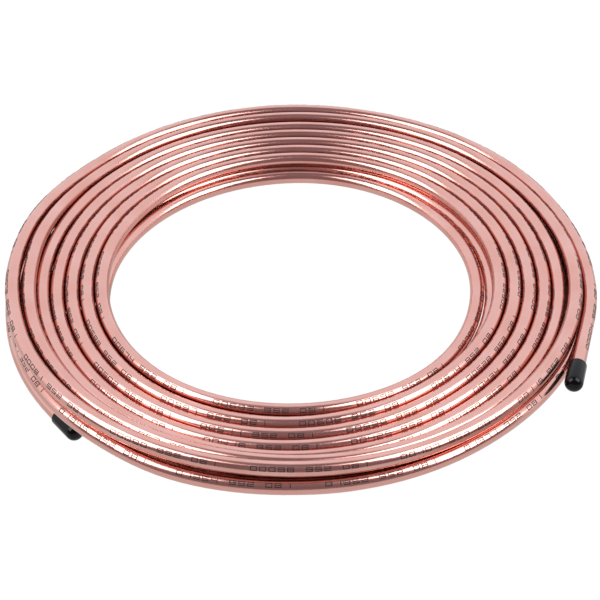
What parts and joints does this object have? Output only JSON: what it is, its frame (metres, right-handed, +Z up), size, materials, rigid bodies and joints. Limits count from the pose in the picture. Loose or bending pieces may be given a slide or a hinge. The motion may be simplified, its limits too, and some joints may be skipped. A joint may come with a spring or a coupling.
{
  "type": "copper tube coil",
  "caption": "Soft copper tube wound flat in two layers around an open eye, with both ends on the outside and a domed vinyl cap on each end.",
  "frame": {"origin": "centre of the coil's box at the level it rests on", "axes": "+Z up along the winding axis, -Y towards the side where the outer turns spring up"},
  "size_m": [0.3906, 0.3905, 0.0312],
  "materials": {
    "copper": "bright drawn copper",
    "cap_vinyl": "black dipped vinyl, glossy"
  },
  "bodies": {
    "root": {"tube_coil": "copper", "upper_end_cap": "cap_vinyl", "lower_end_cap": "cap_vinyl"}
  },
  "joints": []
}
